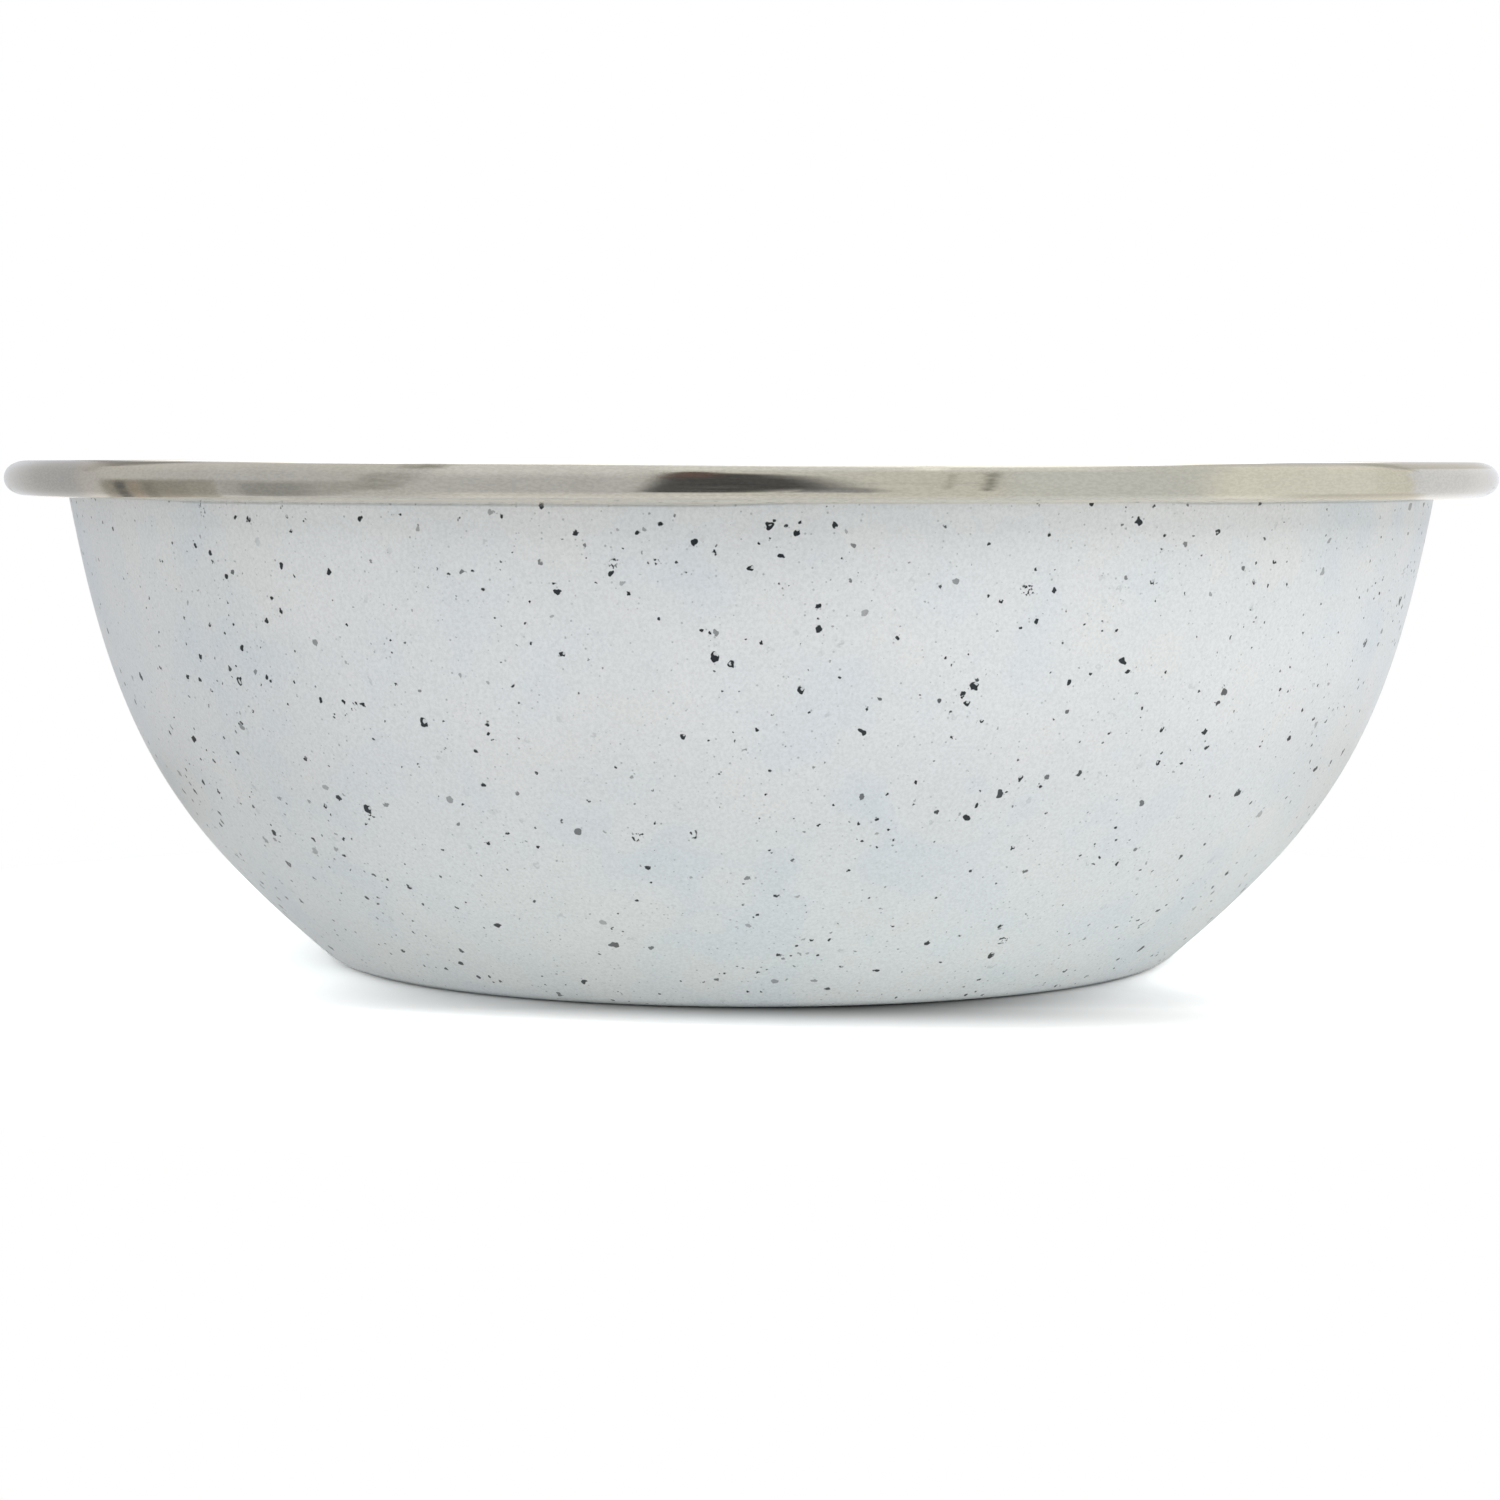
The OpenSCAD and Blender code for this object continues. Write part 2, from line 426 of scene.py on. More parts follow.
def scaled(tree, vector, factor):
    node = addNode(tree, "ShaderNodeVectorMath", {0: vector, "Scale": factor}, operation="SCALE")
    return node.outputs[0]


# Value from one range to another, smooth at both ends
def ramp(tree, value, start, end, low=0.0, high=1.0):
    inputs = {"Value": value, "From Min": start, "From Max": end, "To Min": low, "To Max": high}
    return addNode(tree, "ShaderNodeMapRange", inputs, interpolation_type="SMOOTHSTEP").outputs[0]


def mixColours(tree, share, first, second, blend="MIX"):
    inputs = {0: share, 6: first, 7: second}
    return addNode(tree, "ShaderNodeMix", inputs, data_type="RGBA", blend_type=blend).outputs[2]


def noise(tree, vector, scale, detail=2.0, roughness=0.5, output="Fac"):
    inputs = {"Vector": vector, "Scale": scale, "Detail": detail, "Roughness": roughness}
    return addNode(tree, "ShaderNodeTexNoise", inputs).outputs[output]


# 1 within a radius and 0 outside it, soft by the edge on both sides
def disc(tree, distance, radius, edge):
    return ramp(tree, distance, calc(tree, "ADD", radius, edge), calc(tree, "SUBTRACT", radius, edge))


# Bends the shader's normal by a height
def roughen(tree, shader, height, distance, strength):
    inputs = {"Height": height, "Distance": distance, "Strength": strength}
    bump = addNode(tree, "ShaderNodeBump", inputs)
    tree.links.new(bump.outputs[0], shader.inputs["Normal"])


# A group that takes a vector and some values with their defaults, and gives named values
def newGroup(name, values, results):
    tree = bpy.data.node_groups.new(name, "ShaderNodeTree")
    tree.interface.new_socket("Vector", in_out="INPUT", socket_type="NodeSocketVector")
    for key, value in values.items():
        socket = tree.interface.new_socket(key, in_out="INPUT", socket_type="NodeSocketFloat")
        socket.default_value = value
    for key in results:
        tree.interface.new_socket(key, in_out="OUTPUT", socket_type="NodeSocketFloat")
    return tree, tree.nodes.new("NodeGroupInput").outputs, tree.nodes.new("NodeGroupOutput").inputs


def useGroup(tree, group, inputs):
    return addNode(tree, "ShaderNodeGroup", inputs, node_tree=group).outputs


def colour(red, green, blue):
    return (red, green, blue, 1.0)


# Shapes of the specks, as shares of a speck's radius unless said otherwise
speckShape = {
    "chipFineness": 0.62,  # waves of the chipped edge over a radius
    "chipBend": 4.0,
    "smallest": 0.45,
    "heartAside": 1.1,  # span of chance in the place of the pale heart
    "heartRadius": 0.52,
    "heartPaleness": 0.85,  # share of the dark that it takes away
}


# Specks: one ball in some cells of a 3-D cell pattern, so that the face of the coat cuts
# them at chance sizes. A ball's edge is bent by fine noise, and some balls have a pale
# heart a little off their middle. Lengths in metres.
def makeSpeckGroup():
    values = {"Cell": 2 * mm, "Radius": 0.3 * mm, "Presence": 0.5, "Edge": 0.03 * mm,
              "Chip": 0.5, "Hollow": 0.2}
    tree, given, result = newGroup("enamel specks", values, ("Mask", "Chance"))
    chipScale = calc(tree, "DIVIDE", speckShape["chipFineness"], given["Radius"])
    chipNoise = noise(tree, given["Vector"], chipScale, detail=1.0, output="Color")
    chipReach = times(tree, given["Chip"], given["Radius"])
    chipStep = scaled(tree, vectorCalc(tree, "SUBTRACT", chipNoise, (0.5, 0.5, 0.5)),
                      times(tree, chipReach, speckShape["chipBend"]))
    bent = vectorCalc(tree, "ADD", given["Vector"], chipStep)
    cells = addNode(tree, "ShaderNodeTexVoronoi",
                    {"Vector": bent, "Scale": calc(tree, "DIVIDE", 1.0, given["Cell"])})
    chance = addNode(tree, "ShaderNodeSeparateColor", {0: cells.outputs["Color"]}).outputs
    offset = vectorCalc(tree, "SUBTRACT", bent, cells.outputs["Position"])
    radius = times(tree, given["Radius"], ramp(tree, chance[0], 0.0, 1.0, speckShape["smallest"], 1.0))
    ball = disc(tree, lengthOf(tree, offset), radius, given["Edge"])
    present = calc(tree, "LESS_THAN", chance[1], given["Presence"])
    heartSide = scaled(tree, vectorCalc(tree, "SUBTRACT", cells.outputs["Color"], (0.5, 0.5, 0.5)),
                       times(tree, radius, speckShape["heartAside"]))
    heartPlace = vectorCalc(tree, "SUBTRACT", offset, heartSide)
    heartRadius = times(tree, radius, speckShape["heartRadius"])
    heart = disc(tree, lengthOf(tree, heartPlace), heartRadius, given["Edge"])
    hollow = calc(tree, "GREATER_THAN", chance[2], calc(tree, "SUBTRACT", 1.0, given["Hollow"]))
    lost = times(tree, times(tree, heart, hollow), speckShape["heartPaleness"])
    kept = calc(tree, "SUBTRACT", 1.0, lost)
    tree.links.new(times(tree, times(tree, ball, present), kept), result["Mask"])
    tree.links.new(chance[2], result["Chance"])
    return tree


# Pin-pricks: the smallest specks, a round one in each cell of a 3-D cell pattern
def makePinprickGroup():
    values = {"Cell": 0.6 * mm, "Radius": 0.08 * mm, "Edge": 0.03 * mm}
    tree, given, result = newGroup("enamel pin-pricks", values, ("Mask", "Chance"))
    cells = addNode(tree, "ShaderNodeTexVoronoi",
                    {"Vector": given["Vector"], "Scale": calc(tree, "DIVIDE", 1.0, given["Cell"])})
    chance = addNode(tree, "ShaderNodeSeparateColor", {0: cells.outputs["Color"]}).outputs
    radius = times(tree, given["Radius"], ramp(tree, chance[0], 0.0, 1.0, 0.5, 1.0))
    distance = times(tree, cells.outputs["Distance"], given["Cell"])
    tree.links.new(disc(tree, distance, radius, given["Edge"]), result["Mask"])
    tree.links.new(chance[2], result["Chance"])
    return tree


cloudLook = {
    "fineShift": (0.31, 0.17, 0.23),
    "warmShift": (0.71, 0.43, 0.57),
    "paleShift": (0.13, 0.83, 0.37),
    "wideShare": 0.62,  # of the wide noise in the blue clouds, and the fine one has the rest
    "blueRange": (0.42, 0.6),
    "warmRange": (0.42, 0.62),
    "paleRange": (0.35, 0.65),
}


# Clouds: soft noises as shares for tinting a coat. The blue share is of a wide and a fine
# noise added, and the others are of one noise each, moved so that they don't fall together.
def makeCloudGroup():
    values = {"Wide": 45.0, "Fine": 150.0}
    tree, given, result = newGroup("enamel clouds", values, ("Blue", "Warm", "Pale"))
    place, wideShare = given["Vector"], cloudLook["wideShare"]
    wide = noise(tree, place, given["Wide"], detail=2.0, roughness=0.55)
    finePlace = vectorCalc(tree, "ADD", place, cloudLook["fineShift"])
    fine = noise(tree, finePlace, given["Fine"], detail=2.5, roughness=0.55)
    both = calc(tree, "ADD", times(tree, wide, wideShare), times(tree, fine, 1 - wideShare))
    tree.links.new(ramp(tree, both, *cloudLook["blueRange"]), result["Blue"])
    warmPlace = vectorCalc(tree, "ADD", place, cloudLook["warmShift"])
    warm = noise(tree, warmPlace, given["Fine"], detail=1.5)
    tree.links.new(ramp(tree, warm, *cloudLook["warmRange"]), result["Warm"])
    palePlace = vectorCalc(tree, "ADD", place, cloudLook["paleShift"])
    pale = noise(tree, palePlace, given["Wide"], detail=3.0)
    tree.links.new(ramp(tree, pale, *cloudLook["paleRange"]), result["Pale"])
    return tree


# Fired skin: long soft waves of the glass with a finer ripple on them, as a height, and a
# slow change of sheen
def makeSkinGroup():
    values = {"Scale": 420.0, "Fineness": 5.0, "Ripple": 0.25, "Sheen Scale": 60.0}
    tree, given, result = newGroup("fired skin", values, ("Height", "Sheen"))
    coarse = noise(tree, given["Vector"], given["Scale"], detail=2.0, roughness=0.5)
    fine = noise(tree, given["Vector"], times(tree, given["Scale"], given["Fineness"]), detail=1.0)
    height = calc(tree, "ADD", coarse, times(tree, fine, given["Ripple"]))
    tree.links.new(height, result["Height"])
    tree.links.new(noise(tree, given["Vector"], given["Sheen Scale"], detail=3.0), result["Sheen"])
    return tree


# Drawn grain: noise on (k x/r, k y/r, z) with r as its fourth coordinate, so that it is
# stretched round the axis of the bowl and closes on itself. Blotches and stains are noises
# that aren't stretched.
def makeGrainGroup():
    values = {"Stretch": 0.004, "Scale": 9000.0, "Blotch Scale": 110.0, "Stain Scale": 38.0}
    tree, given, result = newGroup("drawn grain", values, ("Grain", "Blotch", "Stain"))
    flat = vectorCalc(tree, "MULTIPLY", given["Vector"], (1.0, 1.0, 0.0))
    radius = lengthOf(tree, flat)
    circle = scaled(tree, vectorCalc(tree, "NORMALIZE", flat), given["Stretch"])
    height = vectorCalc(tree, "MULTIPLY", given["Vector"], (0.0, 0.0, 1.0))
    place = vectorCalc(tree, "ADD", circle, height)
    grain = addNode(tree, "ShaderNodeTexNoise", {
        "Vector": place,
        "W": radius,
        "Scale": given["Scale"],
        "Detail": 1.5,
    }, noise_dimensions="4D").outputs["Fac"]
    tree.links.new(grain, result["Grain"])
    blotch = noise(tree, given["Vector"], given["Blotch Scale"], detail=4.0, roughness=0.6)
    tree.links.new(blotch, result["Blotch"])
    tree.links.new(noise(tree, given["Vector"], given["Stain Scale"], detail=2.0), result["Stain"])
    return tree


speckGroup = makeSpeckGroup()
pinprickGroup = makePinprickGroup()
cloudGroup = makeCloudGroup()
skinGroup = makeSkinGroup()
grainGroup = makeGrainGroup()
print("node groups ready")


# A new material with its Principled shader, and Object coordinates moved by shift
def newMaterial(name, shift=(0.0, 0.0, 0.0), **constants):
    material = bpy.data.materials.new(name)
    material.use_nodes = True
    tree = material.node_tree
    shader = tree.nodes["Principled BSDF"]
    for key, value in constants.items():
        shader.inputs[key].default_value = value
    place = tree.nodes.new("ShaderNodeTexCoord").outputs["Object"]
    moved = addNode(tree, "ShaderNodeMapping", {"Vector": place, "Location": shift}).outputs[0]
    return material, tree, shader, moved


enamel = {
    "cream": colour(0.687, 0.695, 0.691),
    "grey": colour(0.662, 0.687, 0.694),
    "blue": colour(0.617, 0.663, 0.694),
    "pale": colour(0.707, 0.727, 0.738),
    "low": colour(1.08, 1.10, 1.085),  # painted light: paler and a little greener towards the foot, standing in for light from the floor
    "lowHeights": (26 * mm, 4 * mm),
    "rimShadeLift": colour(1.15, 1.15, 1.15),  # painted light: a paler tone just under the band, lifting the shade that the rim casts there
    "rimShadeLiftHeights": (45 * mm, 47.5 * mm),
    "seamReach": (0.02 * mm, 0.19 * mm),  # below the lip, where the line of shade fades out
    "seamShare": 0.34,
    "speck": colour(0.009, 0.014, 0.020),
    # grey of the faint and sunk specks, and of the painted shade line under the lip
    "dustAndShade": colour(0.20, 0.24, 0.25),
    "specular": 0.4,
    "roughness": (0.36, 0.46),
    "sheenRange": (0.3, 0.7),
    "skin": (0.02 * mm, 0.5),  # height of the fired skin, and how much of it shows
    "warmShare": 0.55,
    "paleShare": 0.45,
    "pepper": 0.125,  # share of the tone that the finest grain takes away
    "pepperScale": 3200.0,
    "pepperRange": (0.3, 0.75),
    # cell, radius and edge
    "pinpricks": (0.6 * mm, 0.105 * mm, 0.03 * mm),
    "pinprickShares": (0.05, 0.62),  # how dark the faintest and the darkest are
    # cell, radius, presence, edge, chip and hollow share
    "grains": (1.05 * mm, 0.17 * mm, 0.42, 0.03 * mm, 0.5, 0.0),
    "chips": (1.5 * mm, 0.31 * mm, 0.54, 0.03 * mm, 0.5, 0.3),
    "flakes": (2.9 * mm, 0.48 * mm, 0.4, 0.03 * mm, 0.45, 0.5),
    "crumbs": (5 * mm, 0.75 * mm, 0.5, 0.08 * mm, 0.4, 0.0),
    "ghosts": (2.1 * mm, 0.36 * mm, 0.6, 0.08 * mm, 0.8, 0.6),  # sunk specks that shine through
    "ghostShare": 0.3,
    "ghostShares": (0.3, 1.0),  # how dark the faintest and the darkest ghost are
    "paleShares": (0.45, 0.45),  # share of the specks that are paler, and the palest one's dark
    "crumbScale": 3200.0,
    "crumbRange": (0.54, 0.62),
    "crowding": (0.35, 1.0),  # share of the specks in a thin place and in a crowded one
    "crowdScale": 85.0,
    "crowdRange": (0.36, 0.64),
}


def speckMask(tree, vector, layer, crowd):
    cell, radius, presence, edge, chip, hollow = enamel[layer]
    share = times(tree, crowd, presence)
    specks = useGroup(tree, speckGroup, {"Vector": vector, "Cell": cell, "Radius": radius, "Edge": edge,
                                         "Presence": share, "Chip": chip, "Hollow": hollow})
    return specks["Mask"], specks["Chance"]


def makeEnamel(name, shift, hasSeam):
    material, tree, shader, place = newMaterial(name, shift, Metallic=0.0, IOR=1.5)
    shader.inputs["Specular IOR Level"].default_value = enamel["specular"]
    clouds = useGroup(tree, cloudGroup, {"Vector": place})
    ground = mixColours(tree, clouds["Blue"], enamel["grey"], enamel["blue"])
    ground = mixColours(tree, times(tree, clouds["Warm"], enamel["warmShare"]), ground, enamel["cream"])
    ground = mixColours(tree, times(tree, clouds["Pale"], enamel["paleShare"]), ground, enamel["pale"])
    # the shift moves the height too, so the inside coat has the painted light from under the rim all over
    height = addNode(tree, "ShaderNodeSeparateXYZ", {0: place}).outputs["Z"]
    # painted light: paler and a little greener towards the foot, standing in for light from the floor
    low = ramp(tree, height, *enamel["lowHeights"])
    ground = mixColours(tree, low, ground, enamel["low"], blend="MULTIPLY")
    # painted light: paler just under the band, lifting the shade that the rim casts there
    rimShadeLift = ramp(tree, height, *enamel["rimShadeLiftHeights"])
    ground = mixColours(tree, rimShadeLift, ground, enamel["rimShadeLift"], blend="MULTIPLY")
    pepperNoise = noise(tree, place, enamel["pepperScale"], roughness=0.7)
    pepper = ramp(tree, pepperNoise, *enamel["pepperRange"])
    ground = mixColours(tree, times(tree, pepper, enamel["pepper"]), ground, enamel["speck"])
    cell, radius, edge = enamel["pinpricks"]
    inputs = {"Vector": place, "Cell": cell, "Radius": radius, "Edge": edge}
    pinpricks = useGroup(tree, pinprickGroup, inputs)
    strength = ramp(tree, pinpricks["Chance"], 0.0, 1.0, *enamel["pinprickShares"])
    faint = times(tree, pinpricks["Mask"], strength)
    ground = mixColours(tree, faint, ground, enamel["dustAndShade"])
    crowdNoise = noise(tree, place, enamel["crowdScale"], detail=1.0)
    crowd = ramp(tree, crowdNoise, *enamel["crowdRange"], *enamel["crowding"])
    ghost, chance = speckMask(tree, place, "ghosts", crowd)
    ghost = times(tree, ghost, ramp(tree, chance, 0.0, 1.0, *enamel["ghostShares"]))
    ground = mixColours(tree, times(tree, ghost, enamel["ghostShare"]), ground, enamel["dustAndShade"])
    dark = None
    for layer in ("grains", "chips", "flakes", "crumbs"):
        mask, chance = speckMask(tree, place, layer, crowd)
        if layer == "crumbs":
            crumbNoise = noise(tree, place, enamel["crumbScale"], detail=1.0)
            mask = times(tree, mask, ramp(tree, crumbNoise, *enamel["crumbRange"]))
        depth = times(tree, mask, ramp(tree, chance, 0.0, *enamel["paleShares"]))
        dark = depth if dark is None else calc(tree, "MAXIMUM", dark, depth)
    tone = mixColours(tree, dark, ground, enamel["speck"])
    # painted shade: a thin dark line on the wall just under the lip's edge
    if hasSeam:
        below = addNode(tree, "ShaderNodeAttribute", attribute_name="belowLip").outputs["Fac"]
        seam = ramp(tree, below, *enamel["seamReach"], enamel["seamShare"], 0.0)
        tone = mixColours(tree, seam, tone, enamel["dustAndShade"])
    tree.links.new(tone, shader.inputs["Base Color"])
    skin = useGroup(tree, skinGroup, {"Vector": place})
    satin = ramp(tree, skin["Sheen"], *enamel["sheenRange"], *enamel["roughness"])
    tree.links.new(satin, shader.inputs["Roughness"])
    roughen(tree, shader, skin["Height"], *enamel["skin"])
    return material


bandFinish = {
    "steel": colour(0.58, 0.565, 0.52),
    "worn": colour(0.545, 0.525, 0.48),
    "straw": colour(0.59, 0.57, 0.505),
    "lip": colour(0.66, 0.645, 0.60),  # painted light: the bend under the nose made paler, standing in for the light that it mirrors
    "lipDrop": (2.7 * mm, 3.1 * mm),  # where it starts, below the top of the band
    "edge": colour(0.84, 0.80, 0.72),  # painted light: the lip beside the wall made paler still, standing in for the light that it mirrors
    "edgeReach": (0.6 * mm, 1.3 * mm),  # where it starts, in from the nose
    "grazing": colour(1.0, 0.97, 0.92),  # tint of what is mirrored at a flat angle
    "roughness": (0.08, 0.15),
    "grainTurn": 0.25,  # of the stretched highlights, as a share of a full turn
    "grain": (0.002, 4500.0),  # stretch and scale
    "grainRange": (0.3, 0.7),
    "grainHeight": (0.008 * mm, 0.6),  # height of the grain, and how much of it shows
    "wornRange": (0.45, 0.7),
    "strawRange": (0.42, 0.62),
    "fineGrain": (0.03, 6000.0),
    "fineRange": (0.36, 0.64),
    "mottle": (colour(0.945, 0.945, 0.945), colour(1.05, 1.05, 1.045)),  # darkest and palest
}


def drawnGrain(tree, place, kind):
    stretch, scale = kind
    return useGroup(tree, grainGroup, {"Vector": place, "Stretch": stretch, "Scale": scale})


def makeBandSteel():
    material, tree, shader, place = newMaterial("satin stainless", Metallic=1.0, Anisotropic=0.8)
    shader.inputs["Anisotropic Rotation"].default_value = bandFinish["grainTurn"]
    shader.inputs["Specular Tint"].default_value = bandFinish["grazing"]
    grain = drawnGrain(tree, place, bandFinish["grain"])
    wear = ramp(tree, grain["Blotch"], *bandFinish["wornRange"])
    tone = mixColours(tree, wear, bandFinish["steel"], bandFinish["worn"])
    stain = ramp(tree, grain["Stain"], *bandFinish["strawRange"])
    tone = mixColours(tree, stain, tone, bandFinish["straw"])
    height = addNode(tree, "ShaderNodeSeparateXYZ", {0: place}).outputs["Z"]
    # painted light: the bend under the nose is made paler, standing in for the light that it mirrors
    onLip = ramp(tree, height, *(rimTop - drop for drop in bandFinish["lipDrop"]))
    tone = mixColours(tree, onLip, tone, bandFinish["lip"])
    # painted light: the lip beside the wall is made paler still, standing in for the light that it
    # mirrors
    radius = lengthOf(tree, vectorCalc(tree, "MULTIPLY", place, (1.0, 1.0, 0.0)))
    byWall = ramp(tree, radius, *(rimRadius - reach for reach in bandFinish["edgeReach"]))
    tone = mixColours(tree, times(tree, byWall, onLip), tone, bandFinish["edge"])
    fine = drawnGrain(tree, place, bandFinish["fineGrain"])["Grain"]
    mottle = mixColours(tree, ramp(tree, fine, *bandFinish["fineRange"]), *bandFinish["mottle"])
    tone = mixColours(tree, 1.0, tone, mottle, blend="MULTIPLY")
    tree.links.new(tone, shader.inputs["Base Color"])
    satin = ramp(tree, grain["Grain"], *bandFinish["grainRange"], *bandFinish["roughness"])
    tree.links.new(satin, shader.inputs["Roughness"])
    roughen(tree, shader, grain["Grain"], *bandFinish["grainHeight"])
    return material


sheetFinish = {
    "dark": colour(0.36, 0.37, 0.38),
    "pale": colour(0.48, 0.48, 0.48),
    "grain": (0.01, 4000.0),
    "grainRange": (0.2, 0.8),
    "roughness": (0.38, 0.6),
}


# Cold-rolled sheet under the coats: dull, with a faint grain and grey clouds
def makePressedSteel():
    material, tree, shader, place = newMaterial("pressed steel", Metallic=1.0)
    grain = drawnGrain(tree, place, sheetFinish["grain"])
    tone = mixColours(tree, grain["Blotch"], sheetFinish["dark"], sheetFinish["pale"])
    tree.links.new(tone, shader.inputs["Base Color"])
    dull = ramp(tree, grain["Grain"], *sheetFinish["grainRange"], *sheetFinish["roughness"])
    tree.links.new(dull, shader.inputs["Roughness"])
    return material


groundFinish = {
    "dark": colour(0.012, 0.014, 0.022),
    "pale": colour(0.028, 0.031, 0.042),
    "skinScale": 300.0,
    "skin": (0.02 * mm, 0.4),
    "sheenRange": (0.3, 0.7),
    "roughness": (0.12, 0.24),
}


# Blue-black ground coat, glossy, with faint paler clouds
def makeGroundEnamel():
    material, tree, shader, place = newMaterial("ground enamel", Metallic=0.0, IOR=1.5)
    skin = useGroup(tree, skinGroup, {"Vector": place, "Scale": groundFinish["skinScale"]})
    tone = mixColours(tree, skin["Sheen"], groundFinish["dark"], groundFinish["pale"])
    tree.links.new(tone, shader.inputs["Base Color"])
    gloss = ramp(tree, skin["Sheen"], *groundFinish["sheenRange"], *groundFinish["roughness"])
    tree.links.new(gloss, shader.inputs["Roughness"])
    roughen(tree, shader, skin["Height"], *groundFinish["skin"])
    return material


def emptyMaterial(name):
    material = bpy.data.materials.new(name)
    material.use_nodes = True
    material.node_tree.nodes.clear()
    return material, material.node_tree


def dress(piece, material):
    piece.data.materials.clear()
    piece.data.materials.append(material)


dress(outsideCoat, makeEnamel("speckled enamel outside", (0.0, 0.0, 0.0), True))
dress(insideCoat, makeEnamel("speckled enamel inside", (0.37, 0.21, 0.59), False))
dress(rimBand, makeBandSteel())
dress(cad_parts["steel_shell"], makePressedSteel())
dress(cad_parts["ground_coat"], makeGroundEnamel())

for piece, node, slot in (
    (outsideCoat, "outside_enamel", "speckled_enamel_outside"),
    (insideCoat, "inside_enamel", "speckled_enamel_inside"),
    (rimBand, "rim_band", "stainless_band"),
):
    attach(piece, "root")
    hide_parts(node)
print("materials and pieces placed")


# Studio. Azimuth 0 is the camera's side and 90 is the right, elevation is above the floor.

def direction(azimuth, elevation):
    a, e = math.radians(azimuth), math.radians(elevation)
    return Vector((math.sin(a) * math.cos(e), -math.cos(a) * math.cos(e), math.sin(e)))


shot = {
    "place": Vector((0.0, -0.41164, 0.05154)),
    "pitchDown": 4.232,
    "roll": -0.08,
    "yaw": 0.02,
    "lens": 95.32,
    "sensor": 36.0,
    "clip": (0.01, 20),
}


def makeCamera():
    lens = bpy.data.cameras.new("camera")
    lens.lens = shot["lens"]
    lens.sensor_width = shot["sensor"]
    lens.clip_start, lens.clip_end = shot["clip"]
    camera = newObject("camera", lens)
    camera.location = shot["place"]
    turns = (90 - shot["pitchDown"], shot["roll"], shot["yaw"])
    camera.rotation_euler = [math.radians(turn) for turn in turns]
    scene.camera = camera


studio = {
    "ambient": 0.48,  # what the white room gives to the surfaces
    "floorHalf": 3.0,
    "floorTone": 0.92,
    "floorDrop": 0.02 * mm,
    # painted shadow: the paper's brightness for the camera, as a share of its tone, rises from the middle
    # of the bowl's shadow outwards and deepens the real shadow; it lies in front of the foot and is wider
    # than deep
    "shadowMiddle": (5.5 * mm, -37.2 * mm, 0.0),
    "shadowStretch": 0.5,
    # in front of the foot the shadow also leans to the right as it comes forward
    "shadowLean": 0.62,
    "leanFrom": 5.4 * mm,
    "shadowReach": 22.2 * mm,
    "paperShares": (0.0, 1.2),
    "outerReach": (17 * mm, 31 * mm),
    "outerShare": 0.9,
    "paperMirrored": 1.05,
    "whiteFrom": 85 * mm,  # from here out the paper fades to plain white, for what is seen
    "whiteTo": 125 * mm,
    "aim": Vector((0.0, 0.0, 0.03)),
    # azimuth, elevation, distance, size, watts
    "lamps": {
        "right": (72, 13, 0.9, 0.36, 0.2),
        "frontRight": (28, 13, 0.9, 0.36, 1.23),
        "frontLeft": (-28, 13, 0.9, 0.36, 0.55),
        "left": (-72, 13, 0.9, 0.36, 0.88),
        "highRight": (50, 40, 0.9, 0.6, 3.35),
        "highLeft": (-50, 40, 0.9, 0.6, 0.75),
        "backRight": (140, 35, 0.9, 0.6, 0.8),
        "backLeft": (-140, 35, 0.9, 0.6, 0.8),
    },
}


# 1 for the rays that see the room, from the camera or mirrored, and 0 for those that light it
def seenWhite(tree):
    path = tree.nodes.new("ShaderNodeLightPath").outputs
    direct = calc(tree, "MAXIMUM", path["Is Camera Ray"], path["Is Glossy Ray"])
    return calc(tree, "MAXIMUM", direct, path["Is Transmission Ray"])


def makeWorld():
    world = bpy.data.worlds.new("white room")
    scene.world = world
    world.use_nodes = True
    tree = world.node_tree
    background = tree.nodes["Background"]
    background.inputs["Color"].default_value = colour(1.0, 1.0, 1.0)
    ambient = studio["ambient"]
    strength = calc(tree, "ADD", ambient, times(tree, seenWhite(tree), 1.0 - ambient))
    tree.links.new(strength, background.inputs["Strength"])


